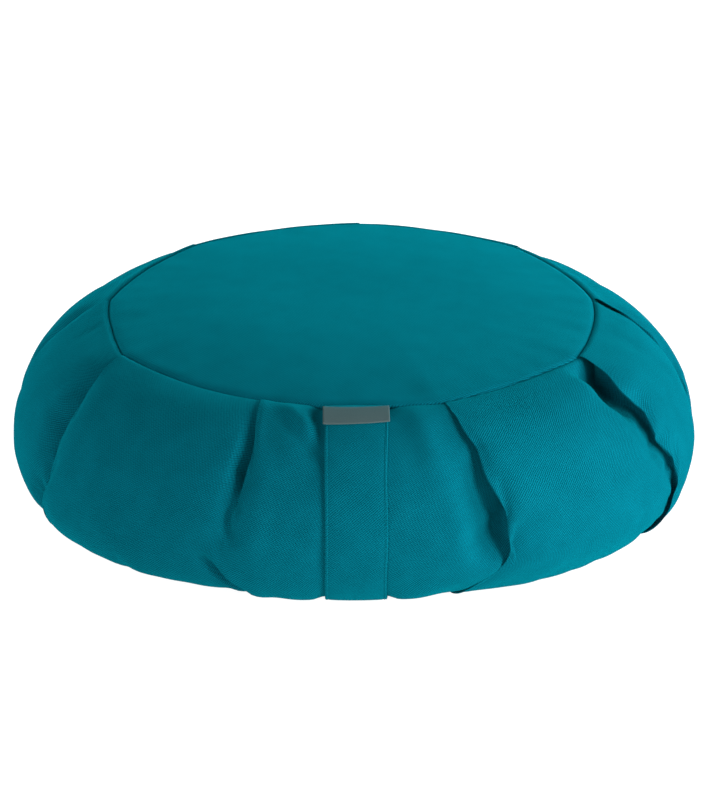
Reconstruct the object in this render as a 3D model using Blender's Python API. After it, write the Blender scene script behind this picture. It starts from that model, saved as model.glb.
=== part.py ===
# Round meditation cushion: a crowned top panel, a knife-pleated side around the filled body,
# a flat bottom panel, a carry strap down the front and a small folded label over its upper end.
# Units are metres, +Z is up, the origin is under the middle of the bottom panel.

import math

import bpy
import numpy as np

# Driving dimensions
OVERALL_RADIUS = 0.2045
SEAM_RADIUS = 0.1455
SEAM_HEIGHT = 0.104
CROWN_HEIGHT = 0.012
BULGE_HEIGHT = 0.034
FOOT_RADIUS = 0.172
PUFF = 0.004
CLOTH = 0.0022
GAP = 0.0003
STRAP_WIDTH = 0.035
STRAP_THICKNESS = 0.0020
STRAP_ANGLE = 0.65
LABEL_WIDTH = 0.037
LABEL_LENGTH = 0.0165
LABEL_THICKNESS = 0.0012

# Shape exponents of the side's section above and below its widest point, and of the crown
UPPER_FULLNESS = 1.88
LOWER_FULLNESS = 2.5
CROWN_FULLNESS = 2.4

# Share of the way down the side where it meets the floor
FOOT_SHARE = 0.82

# Spacing of the mesh
ROW_SPACING = 0.009
COLUMN_SPACING = 4.0
PANEL_COLUMNS = 60
RING_SHARES = (0.2, 0.4, 0.6, 0.78, 0.92)

# Each knife pleat: angle at the top seam and how far it leans by the floor (degrees, 0 at the
# front, + to the right), depth of its fold below the top seam and above the floor (metres)
PLEAT_NAMES = ("angle", "lean", "top_depth", "foot_depth")
PLEATS = (
    (-139.0, 3.0, 0.013, 0.008),
    (-97.5, 5.0, 0.012, 0.009),
    (-63.5, 1.5, 0.014, 0.009),
    (-20.5, -2.0, 0.010, 0.010),
    (20.0, 5.5, 0.015, 0.011),
    (62.0, 3.0, 0.016, 0.010),
    (98.5, -5.0, 0.013, 0.009),
    (137.0, -2.0, 0.013, 0.008),
    (178.0, 2.0, 0.012, 0.009),
)

# Section through one pleat: distance along the girth where the fold is closed and where it is
# open (metres), and the share of the fold's depth there. The right-hand panel laps the left one.
FOLD_NAMES = ("closed", "opened", "share")
FOLD = (
    (-0.016, -0.017, 0.10),
    (-0.009, -0.010, 0.38),
    (-0.004, -0.002, 0.80),
    (-0.001, 0.0045, 1.00),
    (0.001, 0.0020, 0.50),
    (0.003, -0.0010, -0.05),
    (0.008, 0.0050, -0.16),
)


def ease(start, end, value):
    """Rise smoothly from 0 at start to 1 at end."""
    share = np.clip((value - start) / (end - start), 0.0, 1.0)
    return share * share * (3.0 - 2.0 * share)


def hump(start, peak, end, value):
    """Rise from 0 at start to 1 at peak and fall back to 0 at end."""
    return ease(start, peak, value) * (1.0 - ease(peak, end, value))


def crown(radius):
    """Height of the filled top above its seam, greatest at the middle."""
    share = min(radius / SEAM_RADIUS, 1.0)
    return CROWN_HEIGHT * (1.0 - share ** CROWN_FULLNESS)


def side_section():
    """Radius, height and outward normal down the side, from the top seam to the bottom seam."""
    turn = np.linspace(0.0, math.pi / 2.0, 400)
    bulge_radius = OVERALL_RADIUS - PUFF
    upper_radius = SEAM_RADIUS + (bulge_radius - SEAM_RADIUS) * np.sin(turn) ** (2.0 / UPPER_FULLNESS)
    upper_height = BULGE_HEIGHT + (SEAM_HEIGHT - BULGE_HEIGHT) * np.cos(turn) ** (2.0 / UPPER_FULLNESS)
    lower_radius = FOOT_RADIUS + (bulge_radius - FOOT_RADIUS) * np.cos(turn) ** (2.0 / LOWER_FULLNESS)
    lower_height = BULGE_HEIGHT * (1.0 - np.sin(turn) ** (2.0 / LOWER_FULLNESS))
    foot_radius = np.linspace(FOOT_RADIUS, SEAM_RADIUS, 60)
    radius = np.concatenate((upper_radius, lower_radius[1:], foot_radius[1:]))
    height = np.concatenate((upper_height, lower_height[1:], np.zeros(59)))
    steps = np.hypot(np.diff(radius), np.diff(height))
    arc = np.concatenate(((0.0,), np.cumsum(steps)))
    rows = np.linspace(0.0, arc[-1], round(arc[-1] / ROW_SPACING) + 1)
    label_end = np.abs(rows - LABEL_LENGTH).argmin()
    rows[label_end] = LABEL_LENGTH
    rows = np.insert(rows, 1, 0.0015)
    rows = np.insert(rows, -1, rows[-1] - 0.001)
    row_radius = np.interp(rows, arc, radius)
    row_height = np.interp(rows, arc, height)
    out_radius = -np.interp(rows, arc, np.gradient(height, arc))
    out_height = np.interp(rows, arc, np.gradient(radius, arc))
    length = np.hypot(out_radius, out_height)
    return rows, row_radius, row_height, out_radius / length, out_height / length


def pleat_column(pleat, fold):
    """One column of a pleat as (angle at the seam, opened shift, share of depth, pleat)."""
    closed = math.degrees(fold["closed"] / OVERALL_RADIUS)
    opened = math.degrees(fold["opened"] / OVERALL_RADIUS)
    return pleat["angle"] + closed, opened - closed, fold["share"]


def side_columns():
    """Columns around the side: seven for each pleat and even ones across each panel between."""
    pleats = [dict(zip(PLEAT_NAMES, row)) for row in PLEATS]
    folds = [dict(zip(FOLD_NAMES, row)) for row in FOLD]
    columns = []
    for index, pleat in enumerate(pleats):
        following = dict(pleats[(index + 1) % len(pleats)])
        if index == len(pleats) - 1:
            following["angle"] += 360.0
        for fold in folds:
            angle, shift, share = pleat_column(pleat, fold)
            columns.append(dict(angle=angle, shift=shift, share=share, across=0.0, lean=pleat["lean"],
                                top=pleat["top_depth"], foot=pleat["foot_depth"]))
        start = columns[-1]["angle"]
        end = pleat_column(following, folds[0])[0]
        count = round((end - start) / COLUMN_SPACING)
        for step in range(1, count):
            across = step / count
            lean = pleat["lean"] + across * (following["lean"] - pleat["lean"])
            columns.append(dict(angle=start + across * (end - start), shift=0.0, share=0.0,
                                across=across, lean=lean, top=0.0, foot=0.0))
    return columns


def puff_down(share_down):
    """Share of each panel's puff down the side: none at the top seam and under the foot."""
    return np.sin(math.pi * np.minimum(share_down / FOOT_SHARE, 1.0)) ** 0.7


def strap_sink(height):
    """How far the strap is pressed into the side: nothing above, its thickness at the floor."""
    return (STRAP_THICKNESS + GAP) * (1.0 - ease(0.003, 0.026, height))


def side_points(columns):
    """Points of the pleated side as rows of (x, y, z), top seam first."""
    arc, radius, height, out_radius, out_height = side_section()
    share_down = (arc / arc[-1])[:, None]
    column = {key: np.array([entry[key] for entry in columns])[None, :] for key in columns[0]}
    top_open = hump(0.0, 0.30, 0.72, share_down)
    foot_open = hump(0.50, 0.72, 0.97, share_down)
    opening = np.maximum(top_open, foot_open)
    depth = column["top"] * top_open + column["foot"] * foot_open
    angle = column["angle"] + column["shift"] * opening + column["lean"] * ease(0.1, 0.7, share_down)
    puff = PUFF * np.sin(math.pi * column["across"]) ** 0.8 * puff_down(share_down)
    beside = np.abs((angle - STRAP_ANGLE + 180.0) % 360.0 - 180.0)
    sink = strap_sink(height)[:, None] * (1.0 - ease(11.0, 15.0, beside))
    out = puff - column["share"] * depth - sink
    ring_radius = radius[:, None] + out_radius[:, None] * out
    ring_height = np.maximum(height[:, None] + out_height[:, None] * out, 0.0)
    turn = np.radians(angle)
    return np.stack((ring_radius * np.sin(turn), -ring_radius * np.cos(turn), ring_height), axis=2)


def closed_rows(rows):
    """Vertices and faces of a closed skin over rings that each run round once, with a pole
    at the first and at the last."""
    count = len(rows[1])
    vertices = [tuple(rows[0])]
    faces = []
    for row in rows[1:-1]:
        vertices.extend(tuple(float(value) for value in point) for point in row)
    vertices.append(tuple(rows[-1]))
    last = len(vertices) - 1
    bottom = last - count
    for step in range(count):
        after = (step + 1) % count
        faces.append((0, 1 + step, 1 + after))
        for ring in range(len(rows) - 3):
            upper = 1 + ring * count
            lower = upper + count
            faces.append((upper + step, lower + step, lower + after, upper + after))
        faces.append((last, bottom + after, bottom + step))
    return vertices, faces


def circle(radius, height, angles):
    """One ring of points."""
    turn = np.radians(angles)
    return np.stack((radius * np.sin(turn), -radius * np.cos(turn), np.full(len(turn), height)), axis=1)


def add_object(name, vertices, faces, colour, roughness, smooth_angle):
    """Make a mesh object with a material of its own, its long faces cut into triangles."""
    mesh = bpy.data.meshes.new(name)
    mesh.from_pydata(vertices, [], faces)
    mesh.validate()
    mesh.shade_smooth()
    mesh.set_sharp_from_angle(angle=math.radians(smooth_angle))
    material = bpy.data.materials.new(name)
    material.use_nodes = True
    shader = material.node_tree.nodes["Principled BSDF"]
    shader.inputs["Base Color"].default_value = (*colour, 1.0)
    shader.inputs["Roughness"].default_value = roughness
    shader.inputs["Metallic"].default_value = 0.0
    mesh.materials.append(material)
    made = bpy.data.objects.new(name, mesh)
    bpy.context.scene.collection.objects.link(made)
    return made


def build_side(columns):
    """The filled body: crowned top under its panel, pleated side, flat underside."""
    wall = side_points(columns)
    seam_angles = [entry["angle"] for entry in columns]
    foot_angles = [entry["angle"] + entry["lean"] for entry in columns]
    under_top = SEAM_HEIGHT - CLOTH - GAP
    rows = [(0.0, 0.0, under_top + crown(0.0))]
    for share in RING_SHARES:
        radius = share * SEAM_RADIUS
        rows.append(circle(radius, under_top + crown(radius), seam_angles))
    rows.append(circle(SEAM_RADIUS, under_top, seam_angles))
    rows.extend(wall)
    rows.append(circle(SEAM_RADIUS, CLOTH + GAP, foot_angles))
    rows.append((0.0, 0.0, CLOTH + GAP))
    vertices, faces = closed_rows(rows)
    return add_object("pleated_side", vertices, faces, (0.004, 0.185, 0.250), 0.85, 60.0)


def build_top_panel():
    """Round panel over the crowned filling, its edge inside the pleated seam."""
    angles = np.arange(PANEL_COLUMNS) * 360.0 / PANEL_COLUMNS
    edge = SEAM_RADIUS - GAP - 0.0001
    rows = [(0.0, 0.0, SEAM_HEIGHT + crown(0.0))]
    for share in RING_SHARES:
        rows.append(circle(share * SEAM_RADIUS, SEAM_HEIGHT + crown(share * SEAM_RADIUS), angles))
    rows.append(circle(edge, SEAM_HEIGHT + crown(edge), angles))
    rows.append(circle(edge, SEAM_HEIGHT - CLOTH + crown(edge), angles))
    for share in reversed(RING_SHARES):
        rows.append(circle(share * SEAM_RADIUS, SEAM_HEIGHT - CLOTH + crown(share * SEAM_RADIUS), angles))
    rows.append((0.0, 0.0, SEAM_HEIGHT - CLOTH + crown(0.0)))
    vertices, faces = closed_rows(rows)
    return add_object("top_panel", vertices, faces, (0.002, 0.140, 0.194), 0.85, 40.0)


def build_bottom_panel():
    """Round panel that lies flat on the floor."""
    angles = np.arange(PANEL_COLUMNS) * 360.0 / PANEL_COLUMNS
    edge = SEAM_RADIUS - GAP - 0.0001
    rows = [
        (0.0, 0.0, CLOTH),
        circle(edge, CLOTH, angles),
        circle(edge, 0.0, angles),
        (0.0, 0.0, 0.0),
    ]
    vertices, faces = closed_rows(rows)
    return add_object("bottom_panel", vertices, faces, (0.002, 0.140, 0.194), 0.85, 40.0)


def ribbon(stations, width, thickness):
    """A flat band across STRAP_ANGLE: stations hold its inner face's radius, height and normal."""
    edge = width / 2.0
    bevel = thickness * 0.3
    section = (
        (-edge, 0.0),
        (edge, 0.0),
        (edge, thickness - bevel),
        (edge - bevel, thickness),
        (-edge + bevel, thickness),
        (-edge, thickness - bevel),
    )
    turn = math.radians(STRAP_ANGLE)
    vertices = []
    for radius, height, out_radius, out_height in stations:
        for across, out in section:
            ahead = radius + out_radius * out
            vertices.append((
                ahead * math.sin(turn) + across * math.cos(turn),
                -ahead * math.cos(turn) + across * math.sin(turn),
                max(height + out_height * out, 0.0),
            ))
    count = len(section)
    faces = [tuple(range(count - 1, -1, -1))]
    for station in range(len(stations) - 1):
        start = station * count
        for step in range(count):
            after = (step + 1) % count
            faces.append((start + step, start + after, start + count + after, start + count + step))
    end = len(vertices) - count
    faces.append(tuple(range(end, end + count)))
    return vertices, faces


def strap_stations():
    """Inner face of the strap down the middle of the front panel, from seam to seam."""
    arc, radius, height, out_radius, out_height = side_section()
    out = PUFF * puff_down(arc / arc[-1]) - strap_sink(height) + GAP
    rows = np.stack((radius + out_radius * out, height + out_height * out, out_radius, out_height), axis=1)
    return arc[1:-1], rows[1:-1]


def build_strap():
    """Flat carry strap sewn into both seams."""
    arc, stations = strap_stations()
    vertices, faces = ribbon(stations, STRAP_WIDTH, STRAP_THICKNESS)
    return add_object("handle_strap", vertices, faces, (0.003, 0.150, 0.205), 0.8, 40.0)


def build_label():
    """Folded woven label caught in the top seam, over the strap's upper end."""
    arc, stations = strap_stations()
    covered = stations[arc < LABEL_LENGTH + 0.0005]
    inner = covered.copy()
    inner[:, 0:2] += covered[:, 2:4] * (STRAP_THICKNESS + GAP)
    vertices, faces = ribbon(inner, LABEL_WIDTH, LABEL_THICKNESS)
    return add_object("label", vertices, faces, (0.085, 0.140, 0.145), 0.75, 40.0)


def main():
    for existing in list(bpy.data.objects):
        bpy.data.objects.remove(existing, do_unlink=True)
    build_side(side_columns())
    build_top_panel()
    build_bottom_panel()
    build_strap()
    build_label()


main()
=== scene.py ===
import math

import bpy
import numpy as np
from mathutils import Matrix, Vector


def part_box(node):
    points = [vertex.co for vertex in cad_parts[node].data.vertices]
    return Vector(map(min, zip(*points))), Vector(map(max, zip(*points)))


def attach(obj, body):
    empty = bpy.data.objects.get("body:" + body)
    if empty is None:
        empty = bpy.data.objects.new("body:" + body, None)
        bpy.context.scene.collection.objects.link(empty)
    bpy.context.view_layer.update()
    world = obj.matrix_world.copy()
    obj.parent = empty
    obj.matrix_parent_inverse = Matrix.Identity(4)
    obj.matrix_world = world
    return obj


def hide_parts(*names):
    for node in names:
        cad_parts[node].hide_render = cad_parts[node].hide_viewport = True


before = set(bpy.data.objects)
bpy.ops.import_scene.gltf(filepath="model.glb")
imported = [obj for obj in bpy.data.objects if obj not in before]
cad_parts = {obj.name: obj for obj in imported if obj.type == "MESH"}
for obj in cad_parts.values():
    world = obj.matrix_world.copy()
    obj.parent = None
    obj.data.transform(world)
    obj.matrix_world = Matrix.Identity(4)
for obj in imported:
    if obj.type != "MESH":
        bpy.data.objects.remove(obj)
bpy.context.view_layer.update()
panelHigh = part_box("top_panel")[1]
sideLow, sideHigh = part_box("pleated_side")

# the cushion's own shape, which every piece follows; sizes in metres, angles in degrees from the
# front to the right
cushion = {
    "crown": 0.012,         # rise of the top panel above its seam
    "bulgeHeight": 0.036,   # where the side stands out furthest
    "footRadius": 0.1725,   # where the side meets the floor
    "upperFullness": 1.84,  # roundness of the side above and below the bulge; 2 is an ellipse
    "lowerFullness": 2.3,
    "strapAngle": 0.65,
    "seamDraw": 0.0022,     # the top seam lies this much inside its radius between the pleats
    "cornerReach": 17.0,    # how far round the seam a pleat draws it out
    # extra radius near the floor, at angles from the front
    "spreadAngles": (-180, -135, -90, -77, -71, -64, -57, -47, -32, -20,
                     0, 20, 32, 47, 57, 64, 71, 77, 90, 135),
    "spread": (0.0, 0.001, 0.0, -0.0012, 0.0002, 0.0022, 0.0052, 0.0028, 0.0011, -0.0025,
               -0.005, -0.0035, 0.003, 0.0041, 0.0042, 0.0067, 0.0047, 0.0026, 0.003, 0.002),
    "backRise": 0.0055,     # the filling lifts the seam towards the back
    "backDrop": 0.0045,     # and the side falls away from it more steeply there
}
cushion["seamRadius"] = panelHigh[0] + 0.0004
cushion["seamHeight"] = panelHigh[2] - cushion["crown"]
cushion["bulgeRadius"] = (sideHigh[0] - sideLow[0]) / 2 - 0.001

# one row for each knife pleat; the cloth on its right laps the cloth on its left
# edge: angle of the fold edge at each of the distances down from the seam in edgeRows
# tuck: cloth folded under at the seam; pocket and dip: depth and width of the hollow before the edge;
# hollow: where it opens, is deepest and closes, down from the seam; foot: depth of a second hollow
# near the floor; groove: depth of the narrow line along the lip; corner: how far the pleat draws out
# the seam; sway: how far the edge wanders, in degrees
edgeRows = (0.0, 0.036, 0.084, 0.108, 0.130)
pleats = [
    {"edge": (-139.0, -138.0, -137.0, -137.0, -138.0), "tuck": 0.0250, "pocket": 0.005, "dip": 0.016,
     "hollow": (0.010, 0.045, 0.105), "foot": 0.0, "groove": 0.0012, "corner": 0.003, "sway": 0.5},
    {"edge": (-97.5, -93.5, -91.5, -92.0, -96.0), "tuck": 0.0270, "pocket": 0.005, "dip": 0.016,
     "hollow": (0.004, 0.040, 0.100), "foot": 0.0, "groove": 0.0012, "corner": 0.003, "sway": 0.5},
    {"edge": (-63.5, -59.5, -60.0, -62.5, -65.0), "tuck": 0.0225, "pocket": 0.007, "dip": 0.020,
     "hollow": (0.0, 0.060, 0.125), "foot": 0.008, "groove": 0.0036, "corner": 0.0045, "sway": 0.2},
    {"edge": (-21.0, -17.9, -20.6, -22.4, -20.5), "tuck": 0.0175, "pocket": 0.0115, "dip": 0.009,
     "hollow": (0.006, 0.056, 0.096), "foot": 0.004, "groove": 0.0032, "corner": 0.0, "sway": 0.1},
    {"edge": (20.0, 21.2, 24.8, 26.3, 18.0), "tuck": 0.0400, "pocket": 0.012, "dip": 0.030,
     "hollow": (0.034, 0.083, 0.112), "foot": 0.0, "groove": 0.0018, "corner": 0.0045, "sway": 0.4},
    {"edge": (62.0, 60.5, 64.5, 68.0, 62.0), "tuck": 0.0270, "pocket": 0.019, "dip": 0.024,
     "hollow": (0.000, 0.014, 0.072), "foot": 0.002, "groove": 0.0016, "corner": 0.004, "sway": 0.9},
    {"edge": (98.5, 94.5, 92.0, 93.0, 96.0), "tuck": 0.0200, "pocket": 0.004, "dip": 0.008,
     "hollow": (-0.002, 0.008, 0.028), "foot": 0.001, "groove": 0.0003, "corner": 0.002, "sway": 0.3},
    {"edge": (137.0, 136.0, 135.5, 135.5, 136.0), "tuck": 0.0270, "pocket": 0.006, "dip": 0.018,
     "hollow": (0.010, 0.050, 0.110), "foot": 0.0, "groove": 0.0012, "corner": 0.003, "sway": 0.5},
    {"edge": (178.0, 179.0, 180.0, 180.0, 179.0), "tuck": 0.0265, "pocket": 0.005, "dip": 0.016,
     "hollow": (0.010, 0.040, 0.100), "foot": 0.0, "groove": 0.0012, "corner": 0.002, "sway": 0.5},
]

# soft creases and ridges of the side, a row for each: the place where it starts and the place where
# it ends, each an angle and a distance down from the seam; its half width; and its height, which is
# below 0 for a crease
dents = [
    ((-14.5, 0.015), (-6.0, 0.039), 0.0034, -0.0036),
    ((-6.9, 0.000), (-6.5, 0.036), 0.0024, -0.0038),
    ((-14.0, 0.006), (-7.2, 0.027), 0.0052, 0.0028),
    ((-19.6, 0.003), (-15.4, 0.056), 0.0042, 0.0015),
    ((-15.4, 0.050), (-15.8, 0.135), 0.0042, 0.0015),
    ((-25.0, 0.106), (-19.0, 0.130), 0.0030, -0.0080),
    ((-22.4, 0.108), (-16.6, 0.134), 0.0046, 0.0026),
    ((9.2, 0.002), (9.6, 0.042), 0.0072, -0.0015),
    ((14.0, 0.012), (14.6, 0.060), 0.0070, 0.0018),
    ((16.5, 0.050), (19.0, 0.105), 0.0050, 0.0022),
    ((8.4, 0.090), (12.0, 0.120), 0.0060, -0.0012),
    ((56.0, 0.056), (64.0, 0.046), 0.0030, -0.0018),
    ((57.5, 0.076), (66.5, 0.070), 0.0030, -0.0020),
    ((60.0, 0.098), (69.0, 0.090), 0.0032, -0.0020),
    ((60.0, 0.112), (68.0, 0.112), 0.0030, -0.0016),
    ((-76.0, 0.046), (-62.0, 0.058), 0.0040, -0.0012),
    ((-78.0, 0.088), (-63.0, 0.092), 0.0045, -0.0014),
    ((-84.0, 0.006), (-80.0, 0.022), 0.0030, -0.0012),
    ((-45.0, 0.030), (-30.0, 0.105), 0.0140, -0.0010),
    ((34.0, 0.010), (38.0, 0.110), 0.0150, -0.0008),
    ((78.0, 0.010), (80.0, 0.070), 0.0080, -0.0010),
    ((118.0, 0.010), (114.0, 0.090), 0.0090, -0.0014),
    ((160.0, 0.012), (156.0, 0.100), 0.0100, -0.0014),
    ((-160.0, 0.012), (-156.0, 0.100), 0.0100, -0.0014),
    ((-118.0, 0.012), (-112.0, 0.100), 0.0100, -0.0014),
]


def ease(start, end, value):
    # smooth rise from 0 at start to 1 at end
    share = np.clip((value - start) / (end - start), 0.0, 1.0)
    return share * share * (3.0 - 2.0 * share)


def addMesh(name, points, faces, uvs=None):
    # points is an array of positions, faces an array of corner numbers, uvs one pair for each corner
    mesh = bpy.data.meshes.new(name)
    mesh.from_pydata(points, [], faces.tolist() if hasattr(faces, "tolist") else faces)
    if uvs is not None:
        layer = mesh.uv_layers.new(name="cloth")
        layer.data.foreach_set("uv", np.asarray(uvs, dtype=np.float32).ravel())
    mesh.shade_smooth()
    made = bpy.data.objects.new(name, mesh)
    bpy.context.scene.collection.objects.link(made)
    return made


# the side reads the strap's sizes too, because the strap lies in it
strap = {
    "width": 0.035,
    "thickness": 0.0020,
    "middle": 0.0022,       # to the right of the front
    "gap": 0.0003,          # between the strap and the cloth under it
    "press": 0.0012,        # how deep it lies in the side
    "stitchInset": 0.00145,
    "stitchPitch": 0.00215,
    "stitchRadius": 0.00026,
    "stitchShare": 0.84,    # of the pitch; the rest is the hole between two stitches
    "stitchSink": 0.00022,  # how deep a stitch goes in at its ends
    "stitchArch": 0.00030,
    "seamMargin": 0.0006,   # between its upper end and the top seam
    "floorMargin": 0.0008,
    "stations": 150,
}

# side band, cut as one long strip and pleated into both seams
band = {
    "openSpacing": 0.0050,   # columns of the mesh away from the folds
    "afterFold": 0.006,      # closer columns on both sides of a fold edge
    "beforeFold": 0.009,
    "rowSpacing": 0.0038,
    "layer": 0.0011,         # distance between the layers of a tuck
    "thinLayer": 0.0003,     # the same at the top seam
    "lip": 0.0006,           # how far a fold edge stands off the cloth below it
    "overhang": 0.0055,      # how far the lip reaches over the hollow
    "wideDip": 0.018,        # a hollow wider than this is held over more of its width
    "swayLength": 0.037,     # distance down in which a fold edge sways once to each side
    "swell": 0.00035,        # unevenness of the stuffed cloth
    "puff": 0.002,           # how far the filling rounds each panel before the simulation
    "seamRows": (0.0, 0.0007, 0.0016, 0.0027),   # rows that roll into the top seam
    "seamRoll": 0.0013,
    "rollEnd": 0.0030,       # distance down at which the roll ends
    "seamInside": (0.0026, 0.0052),              # depths of the rows inside the cushion
    "floorInside": (0.0008, 0.0030),
    "insideRadius": 0.12,    # where the strip's inside ends, behind the panels
    "insideDrop": 0.006,     # below the top seam
    "insideLift": 0.0045,    # above the floor
    "insideCloth": 0.03,     # cloth that runs there from each seam
    "scale": 10.0,           # the simulation works on a cushion this much larger
    "frames": 30,
    "clearance": 0.005,      # from the floor and from itself, at the larger scale
    "keep": 0.25,            # how firmly the folds stay where they were pressed
    "give": 0.75,            # how much of the simulated movement is used
}

# what the simulation is told, under Blender's names
clothSettings = {
    "quality": 6,
    "mass": 0.3,
    "tension_stiffness": 15.0,
    "compression_stiffness": 15.0,
    "shear_stiffness": 4.5,
    "bending_stiffness": 0.5,
    "pin_stiffness": 1.0,
    "air_damping": 2.0,
    "tension_damping": 8.0,
    "compression_damping": 8.0,
    "use_pressure": True,
    "uniform_pressure_force": 10.0,
}


def apart(angle, other):
    # turn from other to angle, from -180 to 180 degrees
    return (angle - other + 180.0) % 360.0 - 180.0


def seamReach(angle):
    # radius of the top seam: nearly round, drawn out to a soft corner at each pleat
    reach = np.full(np.shape(angle), cushion["seamRadius"] - cushion["seamDraw"])
    for pleat in pleats:
        near = np.clip(1 - np.abs(apart(angle, pleat["edge"][0])) / cushion["cornerReach"], 0.0, 1.0)
        reach = reach + pleat["corner"] * near ** 1.6
    return reach


def footSpread(angle, down):
    # extra radius near the floor, from the table smoothed over a few degrees
    every = np.arange(-180, 180)
    extra = np.interp(every, cushion["spreadAngles"], cushion["spread"], period=360)
    weights = np.hanning(13) / np.hanning(13).sum()
    extra = np.convolve(np.concatenate((extra[-6:], extra, extra[:6])), weights, mode="valid")
    near = ease(0.072, 0.120, down) * (1 - ease(0.140, 0.172, down))
    return near * np.interp(angle, every, extra, period=360)


def towardsBack(angle):
    # 0 at the front and 1 at the back
    return ((1 - np.cos(np.radians(angle))) / 2) ** 2


def sideSection():
    # radius, height and outward direction down the side, by distance from the top seam: a quarter
    # of a superellipse above the bulge, another below it, and the flat foot
    turn = np.linspace(0.0, math.pi / 2, 500)
    seam, bulge, foot = cushion["seamRadius"], cushion["bulgeRadius"], cushion["footRadius"]
    height, low = cushion["seamHeight"], cushion["bulgeHeight"]
    upper, lower = 2.0 / cushion["upperFullness"], 2.0 / cushion["lowerFullness"]
    radius = np.concatenate((
        seam + (bulge - seam) * np.sin(turn) ** upper,
        foot + (bulge - foot) * np.cos(turn[1:]) ** lower,
        np.linspace(foot, seam, 80)[1:],
    ))
    rise = np.concatenate((
        low + (height - low) * np.cos(turn) ** upper,
        low * (1.0 - np.sin(turn[1:]) ** lower),
        np.zeros(79),
    ))
    down = np.concatenate(([0.0], np.cumsum(np.hypot(np.diff(radius), np.diff(rise)))))
    outRadius, outRise = -np.gradient(rise, down), np.gradient(radius, down)
    size = np.hypot(outRadius, outRise)
    return down, radius, rise, outRadius / size, outRise / size


def strapPress(down, height):
    # how deep the strap lies in the cloth: a little down the side, its whole thickness in the top
    # seam and at the floor
    whole = strap["thickness"] + strap["gap"] - strap["press"]
    floorPart, seamPart = 1 - ease(0.003, 0.026, height), 1 - ease(0.0005, 0.009, down)
    return strap["press"] + whole * floorPart + whole * seamPart


def besideStrap(points):
    # distance of each point from the middle of the strap, and 1 at the cushion's back
    return np.where(points[:, :, 1] < 0, np.abs(points[:, :, 0] - strap["middle"]), 1.0)


def foldEdges():
    # place of each fold edge along the strip, and the strip's whole length
    seam, at, edges = cushion["seamRadius"], 0.0, []
    for index, pleat in enumerate(pleats):
        after = pleats[(index + 1) % len(pleats)]
        edges.append(at)
        at += 2 * after["tuck"] + seam * math.radians((after["edge"][0] - pleat["edge"][0]) % 360.0)
    return np.array(edges), at


def foldColumns(turnBack, turnOut, whole, lap):
    # places of the columns on one panel of the strip, row by row: even steps between the stops,
    # which lie close together beside its folds
    after, before = band["afterFold"], band["beforeFold"]
    small = np.minimum(lap, after)
    stops = (0 * lap, 0 * lap + after, turnBack - before, turnBack + 0.3 * small, turnOut,
             whole - 0.6 * small, whole + 0 * lap)
    openCount = max(4, round(float(turnBack.mean() - after - before) / band["openSpacing"]))
    counts = (4, openCount, 7, 3, 3, 3)
    return np.concatenate([left + (right - left) * np.arange(count)[None, :] / count
                           for left, right, count in zip(stops[:-1], stops[1:], counts)], axis=1)


def wander(rows, pleat):
    # the fold edge sways a little to each side on its way down: a sine, fading at both ends
    sway = pleat["sway"] * np.sin(rows * 2 * math.pi / band["swayLength"] + pleat["edge"][0])
    return (sway * ease(0.012, 0.040, rows) * (1 - ease(0.110, 0.140, rows)))[:, None]


def dentDepth(angle, down, radius):
    # sum over the dents of height x exp(-(distance to the line / width) squared), fading at both ends
    total = np.zeros_like(angle)
    for (firstAngle, firstDown), (lastAngle, lastDown), width, height in dents:
        across = radius * np.radians(apart(angle, firstAngle))
        run = radius * math.radians(lastAngle - firstAngle)
        fall = lastDown - firstDown
        reach = np.hypot(run, fall)
        along = (across * run + (down - firstDown) * fall) / reach
        aside = (across * fall - (down - firstDown) * run) / reach
        fade = ease(-0.3 * reach, 0.35 * reach, along) * (1 - ease(0.65 * reach, 1.3 * reach, along))
        total += height * np.exp(-(aside / width) ** 2) * fade
    return total


def soften(across, up):
    # slow uneven swell of stuffed cloth: a sum of products of sines of the place on the flat cloth
    return (np.sin(across * 71.0 + 31.0 * up) * np.sin(up * 83.0 - 17.0 * across + 0.6)
            + 0.7 * np.sin(across * 139.0 - up * 61.0 + 2.0) * np.sin(up * 127.0 + across * 23.0)
            + 0.4 * np.sin(across * 233.0 + up * 173.0 + 1.1) * np.sin(up * 211.0 - across * 97.0))


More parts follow.
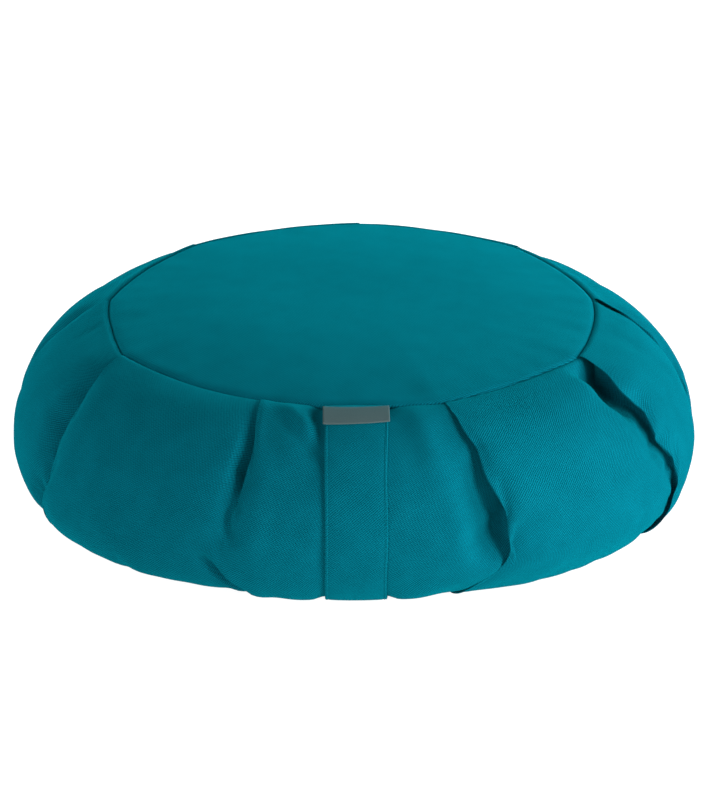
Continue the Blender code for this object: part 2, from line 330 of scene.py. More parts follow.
def stripStart(rows):
    # the strip lapped into its pleats: between two fold edges the cloth runs on over the side,
    # turns back under the next edge and comes forward again, with just the lap that is left over
    down, radius, rise, outRadius, outRise = sideSection()
    sideRadius, sideRise, outAcross, outUp = [np.interp(rows, down, values)[:, None]
                                              for values in (radius, rise, outRadius, outRise)]
    edges, length = foldEdges()
    share, below = (rows / rows[-1])[:, None], rows[:, None]
    smoothing = np.hanning(9) / np.hanning(9).sum()
    thin = band["thinLayer"]
    layer = (thin + (band["layer"] - thin) * ease(0.0, 0.035, below)
             * (1 - 0.6 * ease(0.105, 0.130, below)))
    lastRise = layer + band["lip"] * np.sin(math.pi * share)
    panels = []
    for index, edge in enumerate(edges):
        ahead = pleats[(index + 1) % len(pleats)]
        whole = (edges[index + 1] if index + 1 < len(edges) else length) - edge
        fromAngle, toAngle = [
            np.convolve(np.pad(np.interp(rows, edgeRows, pleat["edge"]), 4, mode="edge"),
                        smoothing, mode="valid")[:, None] + wander(rows, pleat)
            for pleat in (pleats[index], ahead)]
        span = np.radians((toAngle - fromAngle) % 360.0)
        lap = np.maximum((whole - sideRadius * span) / 2, 0.0004)
        turnBack, turnOut = whole - 2 * lap, whole - lap
        along = foldColumns(turnBack, turnOut, whole, lap)
        running = fromAngle + np.degrees(span) * along / turnBack
        inner = fromAngle + np.degrees(span + (along - turnBack) / sideRadius)
        middle = fromAngle + np.degrees(span + (whole - along) / sideRadius)
        angle = np.where(along < turnBack, running, np.where(along < turnOut, inner, middle))
        opening = ease(0.0004, 0.006, lap)
        opens, deepest, closes = ahead["hollow"]
        depth = (layer + ahead["pocket"] * ease(opens, deepest, below) * (1 - ease(deepest, closes, below))
                 + ahead["foot"] * ease(0.095, 0.116, below) * (1 - ease(0.126, 0.160, below))) * opening
        groove = ahead["groove"] * opening * ease(0.004, 0.040, below) * (1 - ease(0.118, 0.134, below))
        edgeRise = (layer + band["lip"] * np.sin(math.pi * share)) * opening
        dip = ease(turnBack - ahead["dip"], turnBack + 0.2 * lap, along)
        sunk = depth * dip + groove * ease(turnBack - 0.0026, turnBack + 0.0010, along)
        # the cloth that comes forward rises first to one layer below the lip, then to its edge
        beneath = edgeRise - 0.8 * layer * opening
        rising = ease(turnOut - 0.0020, whole - np.minimum(band["overhang"], 0.45 * lap), along)
        joining = ease(whole - np.minimum(0.0025, 0.35 * lap), whole, along)
        out = beneath * rising - sunk * (1 - rising) + (edgeRise - beneath) * joining
        out = out + lastRise * (1 - ease(0.0, 0.030, along)) * (1 - dip)
        out = out + (band["puff"] * np.sin(math.pi * np.clip(along / turnBack, 0, 1)) ** 0.8
                     * np.sin(math.pi * share) ** 0.8)
        lastRise = edgeRise
        # hidden: held where it was pressed, from further back beside a wide hollow
        # tucked: least height, so that layers lie apart on the floor
        soft = max(0.0, ahead["dip"] - band["wideDip"])
        hidden = ease(turnBack - 0.012 - soft, turnBack - soft, along) + 1 - ease(0.0, 0.014, along)
        under = np.clip((along - turnBack) / (whole - turnBack), 0, 1)
        tucked = 0.0006 * opening * np.sin(math.pi * under) ** 0.5
        panels.append(np.stack((edge + along, angle, out, hidden, tucked), axis=2))
    place, angle, out, hidden, tucked = np.moveaxis(np.concatenate(panels, axis=1), 2, 0)
    beside = np.abs(np.radians(apart(angle, cushion["strapAngle"]))) * sideRadius
    half = strap["width"] / 2
    clear = ease(half, half + 0.002, beside)
    swell = band["swell"] * soften(place, below) * ease(0.004, 0.03, below)
    out = out + (dentDepth(angle, below, sideRadius) + swell) * clear * (1 - ease(0.14, 0.16, below))
    out = out - strapPress(below, sideRise) * (1 - ease(half + 0.0005, half + 0.007, beside))
    drawn = (seamReach(angle) - cushion["seamRadius"]) * (1 - ease(0.0, 0.05, below))
    back = towardsBack(angle)
    out = out - (cushion["backDrop"] * np.sqrt(back) * ease(0.0, 0.012, below)
                 * (1 - ease(0.03, 0.09, below)))
    reach = sideRadius + outAcross * out + drawn + footSpread(angle, below)
    lift = sideRise + outUp * out + cushion["backRise"] * back * (1 - ease(0.0, 0.06, below))
    lift = np.maximum(lift, tucked)
    turn = np.radians(angle)
    points = np.stack((reach * np.sin(turn), -reach * np.cos(turn), lift), axis=2)
    return points, place, hidden, tucked, length


def gridFaces(rowCount, columnCount):
    # quads of a tube whose rows run down and whose columns run round, facing out
    row, column = np.meshgrid(np.arange(rowCount - 1), np.arange(columnCount), indexing="ij")
    after = (column + 1) % columnCount
    corners = (row * columnCount + column, (row + 1) * columnCount + column,
               (row + 1) * columnCount + after, row * columnCount + after)
    return np.stack([corner.ravel() for corner in corners], axis=1)


def fillBand(start, place, hidden, rows, length):
    # let the filling press the pleated strip outwards, held at both seams and under the strap
    scale = band["scale"]
    rowCount, columnCount = place.shape
    strip = addMesh("bandTrial", start.reshape(-1, 3) * scale, gridFaces(rowCount, columnCount))
    around = 2 * math.pi * place / length
    cutRadius = length / (2 * math.pi)
    cut = np.stack(np.broadcast_arrays(
        cutRadius * np.cos(around), cutRadius * np.sin(around), -rows[:, None]), axis=2)
    strip.shape_key_add(name="Basis")
    flat = strip.shape_key_add(name="cut")
    flat.data.foreach_set("co", (cut.reshape(-1) * scale).astype(np.float32))
    flat.value = 0.0
    hold = strip.vertex_groups.new(name="hold")
    holding = np.zeros((rowCount, columnCount))
    holding[[0, -1]] = 1.0
    half = strap["width"] / 2
    holding = np.maximum(holding, 1 - ease(half - 0.001, half + 0.001, besideStrap(start)))
    holding = np.maximum(holding, band["keep"] * hidden)
    for value in np.unique(holding[holding > 0.01].round(2)):
        members = np.flatnonzero(np.abs(holding.ravel() - value) < 0.005)
        hold.add(members.tolist(), float(value), "REPLACE")
    pressed = strip.vertex_groups.new(name="pressed")
    pressing = np.round(1 - hidden, 1)
    for value in np.unique(pressing[pressing > 0.05]):
        pressed.add(np.flatnonzero(pressing.ravel() == value).tolist(), float(value), "REPLACE")
    floor = addMesh("trialFloor", np.array([[-9, -9, 0], [9, -9, 0], [9, 9, 0], [-9, 9, 0]], dtype=float),
                    np.array([[0, 1, 2, 3]]))
    floor.modifiers.new("Collision", "COLLISION")
    floor.collision.thickness_outer = band["clearance"]
    filling = strip.modifiers.new("Cloth", "CLOTH")
    settings = filling.settings
    for key, value in clothSettings.items():
        setattr(settings, key, value)
    settings.rest_shape_key = flat
    settings.vertex_group_mass = "hold"
    settings.vertex_group_pressure = "pressed"
    settings.effector_weights.gravity = 0.0
    filling.collision_settings.use_collision = True
    filling.collision_settings.distance_min = band["clearance"]
    filling.point_cache.frame_start = 1
    filling.point_cache.frame_end = band["frames"]
    scene = bpy.context.scene
    for step in range(1, band["frames"] + 1):
        scene.frame_set(step)
    depsgraph = bpy.context.evaluated_depsgraph_get()
    shaped = strip.evaluated_get(depsgraph).data
    settled = np.empty(rowCount * columnCount * 3, dtype=np.float32)
    shaped.vertices.foreach_get("co", settled)
    bpy.data.objects.remove(strip, do_unlink=True)
    bpy.data.objects.remove(floor, do_unlink=True)
    scene.frame_set(1)
    return settled.reshape(rowCount, columnCount, 3) / scale


def localMovement(start, shape):
    # the simulated movement less its slow change round the cushion, so each row keeps its size:
    # outward and upward movement minus their best fit of a constant and two waves round the row
    turn = np.arctan2(start[:, :, 0], -start[:, :, 1])
    moved = shape - start
    outward = moved[:, :, 0] * np.sin(turn) - moved[:, :, 1] * np.cos(turn)
    around = moved[:, :, 0] * np.cos(turn) + moved[:, :, 1] * np.sin(turn)
    upward = moved[:, :, 2].copy()
    for row in range(len(start)):
        waves = np.stack([np.ones_like(turn[row])] + [wave(count * turn[row]) for count in (1, 2)
                                                      for wave in (np.sin, np.cos)], axis=1)
        for values in (outward, upward):
            values[row] -= waves @ np.linalg.lstsq(waves, values[row], rcond=None)[0]
    return np.stack((outward * np.sin(turn) + around * np.cos(turn),
                     around * np.sin(turn) - outward * np.cos(turn), upward), axis=2)


def stripUvs(place, rows, length):
    # place of each corner on the flat strip, in metres
    across = np.concatenate((place, place[:, :1] + length), axis=1)
    uv = np.stack(np.broadcast_arrays(across, -rows[:, None]), axis=2)
    return np.stack([uv[:-1, :-1], uv[1:, :-1], uv[1:, 1:], uv[:-1, 1:]], axis=2).reshape(-1, 2)


def closeTube(points, topMiddle, floorMiddle):
    # vertices and faces of a tube of rings, closed with a fan of triangles at each end
    rowCount, columnCount = points.shape[:2]
    vertices = np.concatenate((points.reshape(-1, 3), [topMiddle, floorMiddle]))
    step = np.arange(columnCount)
    after = (step + 1) % columnCount
    last = (rowCount - 1) * columnCount
    top = np.stack((np.full(columnCount, rowCount * columnCount), step, after), axis=1)
    under = np.stack((np.full(columnCount, rowCount * columnCount + 1), last + after, last + step), axis=1)
    return vertices, gridFaces(rowCount, columnCount).tolist() + top.tolist() + under.tolist()


def rollIntoSeams(shape, rows):
    # add rows that turn the strip's two cut edges into the seams, and its inside behind the panels
    nearSeam, below, above = [np.array(band[key]) for key in ("seamRows", "seamInside", "floorInside")]
    share = (nearSeam / rows[1])[:, None, None]
    first = shape[0][None] * (1 - share) + shape[1][None] * share
    first[:, :, 2] -= band["seamRoll"] * ((1 - nearSeam / band["rollEnd"]) ** 2)[:, None]
    inside = np.repeat(shape[0][None], 2, axis=0)
    inside[:, :, 2] -= below[:, None]
    count = shape.shape[1]
    turn = 2 * math.pi * np.arange(count) / count + math.radians(pleats[0]["edge"][0])
    ring = np.stack((band["insideRadius"] * np.sin(turn), -band["insideRadius"] * np.cos(turn),
                     np.full(count, cushion["seamHeight"] - band["insideDrop"]), shape[0, :, 3]), axis=1)
    floorInside = np.repeat(shape[-1][None], 2, axis=0)
    floorInside[:, :, 2] += above[:, None]
    floorRing = ring.copy()
    floorRing[:, 2] = band["insideLift"]
    floorRing[:, 3] = shape[-1, :, 3]
    whole = np.concatenate((ring[None], inside[::-1], first, shape[1:], floorInside, floorRing[None]))
    allRows = np.concatenate(([-band["insideCloth"]], -below[::-1], nearSeam, rows[1:], rows[-1] + above,
                              [rows[-1] + band["insideCloth"]]))
    return whole, allRows


def finer(points, closed):
    # one step of cubic B-spline subdivision along the first axis: kept points take 1:6:1, new ones 1:1
    before = np.roll(points, 1, axis=0)
    after = np.roll(points, -1, axis=0)
    kept = (before + 6 * points + after) / 8
    new = (points + after) / 2
    if not closed:
        kept[0], kept[-1] = points[0], points[-1]
    both = np.stack((kept, new), axis=1).reshape(-1, *points.shape[1:])
    return both if closed else both[:-1]


def makeBand():
    # the lapped strip, filled by the simulation, rolled into its seams and refined once each way
    down = sideSection()[0]
    rows = np.linspace(0.0, down[-1], round(down[-1] / band["rowSpacing"]) + 1)
    start, place, hidden, tucked, length = stripStart(rows)
    count = place.shape[1]
    print("side band:", count, "columns,", len(rows), "rows, strip", round(length, 3), "m long")
    shape = fillBand(start, place, hidden, rows, length)
    clear = ease(strap["width"] / 2, strap["width"] / 2 + 0.020, besideStrap(start))
    used = (band["give"] * ease(0.0, 0.030, rows)[:, None] * clear)[:, :, None]
    shape = start + localMovement(start, shape) * used
    shape[:, :, 2] = np.maximum(shape[:, :, 2], tucked)
    moved = np.linalg.norm(shape - start, axis=2)
    print("side band moved at most", round(float(moved.max()) * 1000, 1), "mm")
    # the fourth value is the place on the strip less an even ramp, so that it closes on itself
    ramp = length * np.arange(count) / count
    whole, allRows = rollIntoSeams(np.concatenate((shape, (place - ramp)[:, :, None]), axis=2), rows)
    whole = np.swapaxes(finer(np.swapaxes(finer(whole, False), 0, 1), True), 0, 1)
    allRows = finer(allRows, False)
    place = whole[:, :, 3] + length * np.arange(2 * count) / (2 * count)
    whole = whole[:, :, :3]
    vertices, faces = closeTube(whole, (0, 0, whole[0, 0, 2]), (0, 0, whole[-1, 0, 2]))
    uvs = np.concatenate((stripUvs(place, allRows, length), np.zeros((12 * count, 2))))
    made = addMesh("sideBand", vertices, faces, uvs)
    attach(made, "root")
    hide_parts("pleated_side")
    return made


sideBand = makeBand()

# top and bottom panels
panel = {
    "rings": 44,
    "segments": 288,
    "roll": 0.0034,              # how far the edge turns down into the seam
    "rollSteps": (0.12, 0.47, 1.0),
    "inset": 0.0007,             # and how far in its first ring lies
    "margin": 0.0003,            # between the panel's edge and the side
    "fullness": 2.6,             # a higher power keeps the middle flatter
    "swell": 0.00022,            # unevenness of the stuffed cloth
    "swellScale": 0.45,
    "pucker": 0.00015,           # small gathers beside the seam
}


def makePanel(name, node, height, crown, side):
    # a disc whose height above its seam is crown x (1 - share to the power of its fullness),
    # with its edge turned into the seam; side is 1 for the top and -1 for the bottom
    segments = panel["segments"]
    turn = np.linspace(0, 2 * math.pi, segments, endpoint=False)
    share = np.concatenate((np.linspace(0, 1, panel["rings"] + 1)[1:], [1.0, 1.0]))
    drop = np.concatenate((np.zeros(panel["rings"] - 1), np.array(panel["rollSteps"]) * panel["roll"]))
    inset = np.concatenate((np.zeros(panel["rings"] - 1), [panel["inset"], 0.0, 0.0]))
    reach = seamReach(np.degrees(turn)) if side > 0 else np.full(segments, cushion["seamRadius"])
    radius = share[:, None] * (reach - panel["margin"])[None, :] - inset[:, None]
    flatX, flatY = radius * np.sin(turn), -radius * np.cos(turn)
    pucker = ease(0.72, 0.93, share) * (1 - ease(0.96, 1.0, share))
    swell = (panel["swell"] * soften(flatX * panel["swellScale"], flatY * panel["swellScale"])
             * (1 - ease(0.93, 1.0, share))[:, None])
    swell = swell + panel["pucker"] * pucker[:, None] * (np.sin(turn * 23) + 0.6 * np.sin(turn * 41 + 1.0))
    lift = (height + side * (crown * (1 - share ** panel["fullness"]) - drop))[:, None] + np.zeros(segments)
    if side > 0:
        lift = lift + swell + cushion["backRise"] * (share ** 1.5)[:, None] * towardsBack(np.degrees(turn))
    points = np.stack((flatX, flatY, lift), axis=2)
    vertices, faces = closeTube(points, (0, 0, height + side * crown), (0, 0, lift[-1, 0]))
    if side < 0:
        faces = [face[::-1] for face in faces]
    flat = vertices[:, :2][np.concatenate([np.array(face) for face in faces])]
    made = addMesh(name, vertices, faces, flat)
    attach(made, "root")
    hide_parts(node)
    return made


topPanel = makePanel("topPanel", "top_panel", cushion["seamHeight"], cushion["crown"], 1)
bottomPanel = makePanel("bottomPanel", "bottom_panel", 0.0, 0.0, -1)
print("panels made")


def strapPath(distance):
    # where the strap's inner face runs, with the outward direction, at each distance from the top seam:
    # the side's section, puffed as the cloth is and pressed in by the strap's own depth
    down, radius, rise, outAcross, outUp = sideSection()
    at = [np.interp(distance, down, values) for values in (radius, rise, outAcross, outUp)]
    share = distance / down[-1]
    puff = band["puff"] * np.sin(math.pi * share) ** 0.8
    out = puff - strapPress(distance, at[1]) + strap["gap"]
    drawn = (seamReach(cushion["strapAngle"]) - cushion["seamRadius"]) * (1 - ease(0.0, 0.05, distance))
    reach = at[0] + at[2] * out + drawn
    reach = reach + footSpread(cushion["strapAngle"], distance)
    return reach, at[1] + at[3] * out, at[2], at[3]


def layOn(distance, across, out):
    # points of the strap: distance from the seam, across its width and out from its inner face
    reach, rise, outAcross, outUp = strapPath(distance)
    bend = math.radians(cushion["strapAngle"]) + across / (reach + strap["thickness"] / 2)
    ahead = reach + outAcross * out
    lift = np.maximum(rise + outUp * out, 0.0001)
    return np.stack((ahead * np.sin(bend), -ahead * np.cos(bend), lift), axis=-1)


def strapSection(width, thickness):
    # places across and heights round the strap, the height as a share of its thickness: pressed
    # edges, and a raised rim outside each stitch line
    half, inset = width / 2, strap["stitchInset"]
    top = [(-half, 0.35), (-half + 0.0001, 0.62), (-half + 0.0004, 0.86), (-half + 0.0009, 0.93),
           (-half + inset, 0.76), (-half + inset + 0.0008, 0.84), (-half + inset + 0.002, 0.92),
           (-half + 0.0075, 0.98), (-0.004, 1.0)]
    mirrored = [(-place, height) for place, height in top[::-1]]
    under = [(half - 0.0005, 0.03), (half * 0.5, 0.0), (0.0, 0.0), (-half * 0.5, 0.0),
             (-half + 0.0005, 0.03)]
    places, heights = np.array(top + mirrored + under).T
    return places, heights * thickness


def sweepFaces(stationCount, sectionCount):
    # quads along a closed section carried down a path, and a flat end at each end
    first = list(range(sectionCount))
    last = [(stationCount - 1) * sectionCount + number for number in range(sectionCount)][::-1]
    return gridFaces(stationCount, sectionCount).tolist() + [first, last]


def makeStrap():
    # the strap's section carried down the side; its width and its line sway by a sum of two sines
    end = sideSection()[0][-1] - strap["floorMargin"]
    distance = np.linspace(strap["seamMargin"], end, strap["stations"])
    across, out = strapSection(strap["width"], strap["thickness"])
    sway = (0.00025 * np.sin(distance * 95.0) + 0.0002 * np.sin(distance * 41.0 + 1.0))[:, None]
    swayed = across[None, :] * (1 + 0.6 * sway / (strap["width"] / 2)) + sway
    points = layOn(distance[:, None], swayed, out[None, :])
    faces = sweepFaces(len(distance), len(across))
    girth = np.cumsum(np.hypot(np.diff(across, append=across[0]), np.diff(out, append=out[0])))
    spots = np.stack(np.broadcast_arrays(np.append(0, girth)[None, :], -distance[:, None]), axis=2)
    corner = np.stack([spots[:-1, :-1], spots[1:, :-1], spots[1:, 1:], spots[:-1, 1:]], axis=2)
    ends = np.zeros((2 * len(across), 2))
    uvs = np.concatenate((corner.reshape(-1, 2), ends))
    made = addMesh("carryStrap", points.reshape(-1, 3), faces, uvs)
    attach(made, "root")
    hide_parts("handle_strap")
    return made


def makeStitches():
    # short rounded threads, sunk at both ends, down both edges of the strap: circles carried along
    # a low arch, thinner towards its ends
    end = sideSection()[0][-1] - 0.004
    starts = np.arange(0.003, end, strap["stitchPitch"])
    along = np.linspace(0, 1, 7)
    turn = np.linspace(0, 2 * math.pi, 8, endpoint=False)
    thick = strap["stitchRadius"] * np.sqrt(np.clip(1 - (2 * along - 1) ** 4, 0.02, 1))
    rise = -strap["stitchSink"] + strap["stitchArch"] * np.sin(math.pi * along) ** 0.6
    distance = (starts[:, None, None] + along[None, :, None] * strap["stitchPitch"] * strap["stitchShare"]
                + 0 * turn)
    lift = (strap["thickness"] * 0.80 + rise[None, :, None] + thick[None, :, None] * np.sin(turn)
            + 0 * distance)
    pieces = []
    for edge in (-1, 1):
        middle = edge * (strap["width"] / 2 - strap["stitchInset"])
        across = middle - thick[None, :, None] * np.cos(turn) + 0 * distance
        pieces.append(layOn(distance, across, lift))
    points = np.concatenate(pieces)
    *sides, first, last = sweepFaces(len(along), len(turn))
    offsets = np.arange(len(points)) * len(along) * len(turn)
    quads = (np.array(sides)[None] + offsets[:, None, None]).reshape(-1, 4)
    ends = (np.array([first, last])[None] + offsets[:, None, None]).reshape(-1, len(turn))
    made = addMesh("strapStitches", points.reshape(-1, 3), quads.tolist() + ends.tolist())
    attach(made, "root")
    return made


label = {
    "width": 0.0372,
    "length": 0.0192,        # folded in two
    "thickness": 0.00042,
    "layerGap": 0.00028,     # half the distance between the middles of its two layers
    "tilt": 0.045,           # fall to the left for each length across
    "sink": 0.0026,          # how deep the top seam draws it in
    "standOff": 0.0003,      # how far its folded end stands off the strap
    "curl": 0.00022,         # and how far its two sides stand off
    "shift": 0.0004,         # to the right of the strap's middle
    "rows": 24,              # of each layer
    "columns": 48,
}


def makeLabel():
    # a woven strip folded in two: the line of its section runs down the back layer, round the fold
    # at the bottom and up the front layer into the seam
    length, gap, rows, columns = [label[key] for key in ("length", "layerGap", "rows", "columns")]
    back = np.linspace(0.0004, length, rows)
    bend = np.linspace(0, math.pi, 9)[1:-1]
    middle = strap["thickness"] + strap["gap"] + label["thickness"] / 2
    distance = np.concatenate((back, length + gap * 1.6 * np.sin(bend), back[::-1]))
    out = np.concatenate((np.full(rows, middle), middle + gap * (1 - np.cos(bend)),
                          np.full(rows, middle + 2 * gap)))
    out = (out + label["standOff"] * ease(0.0, 0.012, distance)
           - label["sink"] * (1 - ease(0.0, 0.008, distance)))
    across = np.linspace(-label["width"] / 2, label["width"] / 2, columns + 1)
    curl = label["curl"] * (2 * across / label["width"]) ** 4
    fall = distance[:, None] - label["tilt"] * across[None, :] * ease(0.0, 0.012, distance)[:, None]
    points = layOn(fall, across[None, :] + label["shift"], out[:, None] + curl[None, :])
    row, column = np.meshgrid(np.arange(len(distance) - 1), np.arange(columns), indexing="ij")
    corner = row * (columns + 1) + column
    below = corner + columns + 1
    faces = np.stack((corner, corner + 1, below + 1, below), axis=-1).reshape(-1, 4)
    run = np.concatenate(([0.0], np.cumsum(np.hypot(np.diff(distance), np.diff(out)))))
    spots = np.stack(np.broadcast_arrays(across[None, :], run[:, None]), axis=2)
    uvs = np.stack([spots[:-1, :-1], spots[:-1, 1:], spots[1:, 1:], spots[1:, :-1]], axis=2)
    made = addMesh("sideLabel", points.reshape(-1, 3), faces, uvs.reshape(-1, 2))
    shell = made.modifiers.new("Solidify", "SOLIDIFY")
    shell.thickness = label["thickness"]
    shell.offset = 0.0
    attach(made, "root")
    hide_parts("label")
    return made


carryStrap = makeStrap()
strapStitches = makeStitches()
sideLabel = makeLabel()
print("strap, stitches and label made")


class Flow:
    # one output of a node; maths on it adds the matching Math nodes
    def __init__(self, tree, socket):
        self.tree = tree
        self.socket = socket

    def maths(self, operation, *values):
        node = self.tree.nodes.new("ShaderNodeMath")
        node.operation = operation
        for place, value in enumerate(values):
            if isinstance(value, Flow):
                self.tree.links.new(value.socket, node.inputs[place])
            else:
                node.inputs[place].default_value = value
        return Flow(self.tree, node.outputs[0])

    def __add__(self, other):
        return self.maths("ADD", self, other)

    def __sub__(self, other):
        return self.maths("SUBTRACT", self, other)

    def __mul__(self, other):
        return self.maths("MULTIPLY", self, other)

    def wave(self):
        # 0 to 1 and back once for each whole step of the value
        return self.maths("SINE", self * (2 * math.pi)) * 0.5 + 0.5


fibres = {"gloss": 0.0, "sheenRoughness": 0.5, "sheenTint": (0.0, 0.55, 0.65, 1.0)}


class Finish:
    # a material with one Principled shader, built from flows: no gloss, just the sheen of fibres
    def __init__(self, name, roughness, sheen):
        self.material = bpy.data.materials.new(name)
        self.material.use_nodes = True
        self.tree = self.material.node_tree
        self.shader = self.tree.nodes["Principled BSDF"]
        self.shader.inputs["Roughness"].default_value = roughness
        self.shader.inputs["Specular IOR Level"].default_value = fibres["gloss"]
        self.shader.inputs["Sheen Weight"].default_value = sheen
        self.shader.inputs["Sheen Roughness"].default_value = fibres["sheenRoughness"]
        self.shader.inputs["Sheen Tint"].default_value = fibres["sheenTint"]

    def node(self, kind, settings=None, inputs=None, output=0):
        # any node: its type, its settings, the values or links of its sockets, and the output wanted
        made = self.tree.nodes.new(kind)
        for key, value in (settings or {}).items():
            setattr(made, key, value)
        for key, value in (inputs or {}).items():
            if isinstance(value, Flow):
                self.tree.links.new(value.socket, made.inputs[key])
            else:
                made.inputs[key].default_value = value
        return Flow(self.tree, made.outputs[output])

    def cloth(self):
        # place on the flat cloth in millimetres
        uv = self.node("ShaderNodeUVMap", {"uv_map": "cloth"})
        return self.node("ShaderNodeVectorMath", {"operation": "SCALE"}, {0: uv, "Scale": 1000.0})

    def parts(self, vector):
        # its first two coordinates
        return [self.node("ShaderNodeSeparateXYZ", None, {0: vector}, number) for number in (0, 1)]

    def noise(self, vector, scale, detail=2.0, rough=0.5):
        # 0 to 1, with detail octaves, each weaker by rough
        return self.node("ShaderNodeTexNoise", None,
                         {"Vector": vector, "Scale": scale, "Detail": detail, "Roughness": rough})

    def mix(self, factor, low, high):
        # low x (1 - factor) + high x factor
        return self.node("ShaderNodeMix", {"data_type": "RGBA"},
                         {0: factor, 6: (*low, 1.0), 7: (*high, 1.0)}, 2)

    def use(self, colour, height, distance, strength):
        # colour for the base, height for the bump; distance is the bump's depth in metres
        bump = self.node("ShaderNodeBump", None,
                         {"Height": height, "Distance": distance, "Strength": strength})
        self.tree.links.new(colour.socket, self.shader.inputs["Base Color"])
        self.tree.links.new(bump.socket, self.shader.inputs["Normal"])


# one cloth for the whole cushion; the pieces differ in how much the weave shows
twill = {
    "pitch": 1.04,          # millimetres from one ridge to the next
    "yarnPitch": 1.35,      # and from one thread to the next along a ridge, as a share of it
    "tilt": 38.0,           # angle of the ridges to the cloth's length
    "deep": (0.0002, 0.022, 0.033),
    "bright": (0.0009, 0.118, 0.162),
    "roughness": 0.88,
    "sheen": 0.18,
    "depth": 0.00040,
}


def twillFinish(name, contrast, relief):
    # diagonal ridges of yarn: a wave across the ridges, a weaker one along them, both bent by a
    # slow noise, then flecks of the fibre and a faint mottle of the dye; contrast is the weave's
    # part in the shade, relief the strength of the bump
    made = Finish(name, twill["roughness"], twill["sheen"])
    place = made.cloth()
    across, up = made.parts(place)
    lean = math.radians(twill["tilt"])
    wobble = made.noise(place, 0.35, 1.0) * 0.8
    ridge = ((up * math.cos(lean) - across * math.sin(lean)) * (1 / twill["pitch"]) + wobble).wave()
    yarn = ((across * math.cos(lean) + up * math.sin(lean)) * (1 / (twill["pitch"] * twill["yarnPitch"]))
            + ridge * 0.35 + wobble * 0.6).wave()
    fleck = made.noise(place, 1.6, 3.0, 0.7)
    mottle = made.noise(place, 0.06, 3.0, 0.6)
    height = ridge * 0.7 + yarn * 0.3
    shade = (ridge + yarn * 0.35 + (fleck - 0.5) * 1.6 - 0.67) * contrast + (mottle - 0.5) * 0.3 + 0.5
    colour = made.mix(shade, twill["deep"], twill["bright"])
    made.use(colour, height + fleck * 0.4, twill["depth"], relief)
    return made.material


sideTwill = twillFinish("sideTwill", 0.60, 0.58)
panelTwill = twillFinish("panelTwill", 0.56, 0.5)
strapTwill = twillFinish("strapTwill", 0.50, 0.6)

thread = {
    "deep": (0.0006, 0.072, 0.098),
    "bright": (0.0012, 0.125, 0.165),
    "roughness": 0.6,
    "sheen": 0.1,
    "depth": 0.0001,
}


def threadFinish():
    # a twisted cotton thread: fine noise for its colour and its fibres
    made = Finish("thread", thread["roughness"], thread["sheen"])
    place = made.node("ShaderNodeTexCoord", None, None, 3)
    fleck = made.noise(place, 900.0, 2.0)
    made.use(made.mix(fleck, thread["deep"], thread["bright"]), fleck, thread["depth"], 0.3)
    return made.material


labelWeave = {
    "deep": (0.024, 0.042, 0.044),
    "bright": (0.070, 0.100, 0.102),
    "warpPitch": 0.34,      # in millimetres
    "weftPitch": 0.28,
    "roughness": 0.7,
    "sheen": 0.1,
    "depth": 0.00012,
}


def labelFinish():
    # plain tight weave with a fine rib: one wave each way, with flecks
    made = Finish("labelWeave", labelWeave["roughness"], labelWeave["sheen"])
    place = made.cloth()
    across, up = made.parts(place)
    warp = (across * (1 / labelWeave["warpPitch"])).wave()
    weft = (up * (1 / labelWeave["weftPitch"])).wave()
    fleck = made.noise(place, 2.2, 2.0)
    shade = warp * 0.25 + weft * 0.3 + fleck * 0.5
    colour = made.mix(shade, labelWeave["deep"], labelWeave["bright"])
    made.use(colour, warp * 0.5 + weft * 0.5, labelWeave["depth"], 0.5)
    return made.material


def dress(piece, material):
    # one material for the whole piece
    piece.data.materials.clear()
    piece.data.materials.append(material)


dress(sideBand, sideTwill)
dress(topPanel, panelTwill)
dress(bottomPanel, panelTwill)
dress(carryStrap, strapTwill)
dress(strapStitches, threadFinish())
dress(sideLabel, labelFinish())
print("finishes made")

# the camera, fitted to the photograph's outline; the pixels are those of the 710 x 800 image
view = {
    "distance": 2.30,
    "elevation": 21.9,
    "target": (0.0, 0.0, 0.060),
    "focal": 3849.0,            # in pixels
    "longSide": 800,
    "sensor": 36.0,             # in millimetres
    "targetPixel": (352.3, 382.5),
    "imageCentre": (355.0, 400.0),
}
studio = {
    "lampDistance": 2.2,
    "lampTarget": (0, 0, 0.05),
    "floorHalf": 6.0,
    "floorHeight": -0.0004,
    "floorGrey": 0.25,
    "floorGlow": 0.92,          # so that the floor is as white as the photograph's ground
    # the sky is 1 strong below the first of these heights and falls to 0.12 at the second
    "sky": (0.17, 0.42, 1.0, 0.12),
}
# name; turn in degrees from the front to the right; rise in degrees above the floor; size; power
lamps = [
    ("back", 178.0, 12.0, 1.0, 76.0),
    ("right", 92.0, 15.0, 1.3, 66.0),
    ("rightFront", 52.0, 9.0, 1.2, 76.0),
    ("left", 250.0, 10.0, 0.8, 30.0),
    ("front", -18.0, 20.0, 0.9, 25.0),
]


def makeLamps():
    # round lamps on a sphere about the cushion, facing it
    middle = Vector(studio["lampTarget"])
    for name, turnDegrees, riseDegrees, size, power in lamps:
        data = bpy.data.lights.new(name, "AREA")
        data.energy = power
        data.shape = "DISK"
        data.size = size
        made = bpy.data.objects.new(name, data)
        turn, rise = math.radians(turnDegrees), math.radians(riseDegrees)
        outward = Vector((math.sin(turn) * math.cos(rise), -math.cos(turn) * math.cos(rise),
                          math.sin(rise)))
        made.location = outward * studio["lampDistance"] + middle
        made.rotation_euler = (middle - made.location).to_track_quat("-Z", "Y").to_euler()
        bpy.context.scene.collection.objects.link(made)


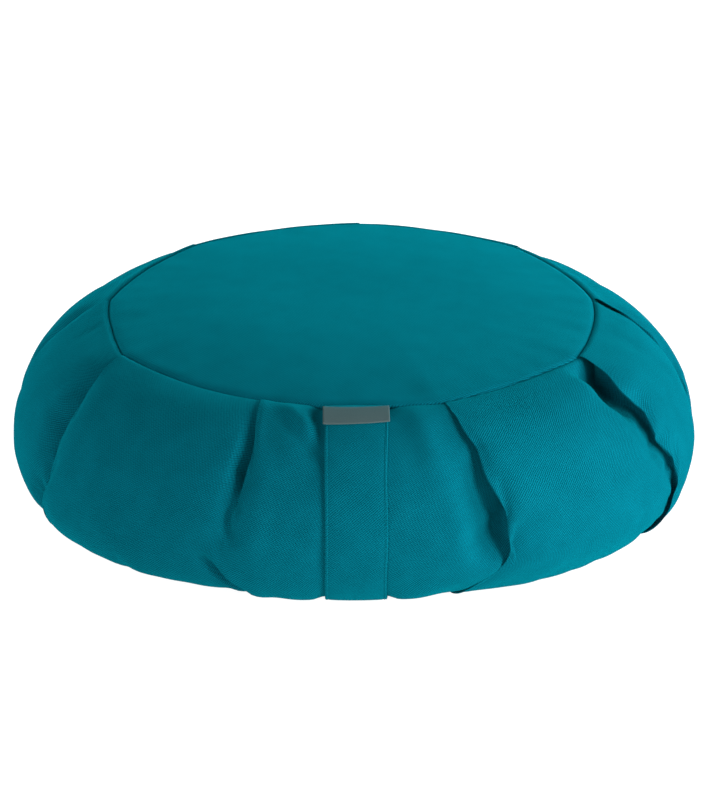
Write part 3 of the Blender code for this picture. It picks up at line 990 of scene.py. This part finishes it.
def makeCamera():
    # looks past the target by as many metres as the target's pixel lies off the image's centre
    rise = math.radians(view["elevation"])
    target = Vector(view["target"])
    back = Vector((0, -math.cos(rise), math.sin(rise)))
    up = Vector((0, math.sin(rise), math.cos(rise)))
    place = target + back * view["distance"]
    pixel = view["distance"] / view["focal"]
    right = view["imageCentre"][0] - view["targetPixel"][0]
    below = view["imageCentre"][1] - view["targetPixel"][1]
    aim = target + Vector((right * pixel, 0, 0)) - up * (below * pixel)
    data = bpy.data.cameras.new("camera")
    data.sensor_width = view["sensor"]
    data.lens = view["focal"] / view["longSide"] * view["sensor"]
    data.clip_end = 50
    made = bpy.data.objects.new("camera", data)
    made.location = place
    made.rotation_euler = (aim - place).to_track_quat("-Z", "Y").to_euler()
    bpy.context.scene.collection.objects.link(made)
    bpy.context.scene.camera = made


def makeFloor():
    # a wide plane just under the cushion, with a glow of its own
    half, height = studio["floorHalf"], studio["floorHeight"]
    corners = np.array([[-half, -half, height], [half, -half, height], [half, half, height],
                        [-half, half, height]])
    made = addMesh("floor", corners, np.array([[0, 1, 2, 3]]))
    pale = bpy.data.materials.new("pale")
    pale.use_nodes = True
    shader = pale.node_tree.nodes["Principled BSDF"]
    shader.inputs["Base Color"].default_value = (studio["floorGrey"],) * 3 + (1,)
    shader.inputs["Roughness"].default_value = 0.9
    shader.inputs["Specular IOR Level"].default_value = 0.1
    shader.inputs["Emission Color"].default_value = (1, 1, 1, 1)
    shader.inputs["Emission Strength"].default_value = studio["floorGlow"]
    made.data.materials.append(pale)


def makeWorld():
    # white at the horizon, dimmer overhead: a smooth step of the direction's height
    world = bpy.data.worlds.new("studio")
    world.use_nodes = True
    nodes, links = world.node_tree.nodes, world.node_tree.links
    place = nodes.new("ShaderNodeTexCoord")
    parts = nodes.new("ShaderNodeSeparateXYZ")
    fade = nodes.new("ShaderNodeMapRange")
    fade.interpolation_type = "SMOOTHSTEP"
    for number, value in enumerate(studio["sky"]):
        fade.inputs[number + 1].default_value = value
    links.new(place.outputs["Generated"], parts.inputs[0])
    links.new(parts.outputs[2], fade.inputs[0])
    links.new(fade.outputs[0], nodes["Background"].inputs["Strength"])
    nodes["Background"].inputs["Color"].default_value = (1, 1, 1, 1)
    bpy.context.scene.world = world
    bpy.context.scene.view_settings.view_transform = "Standard"


makeCamera()
makeLamps()
makeFloor()
makeWorld()
print("studio made")
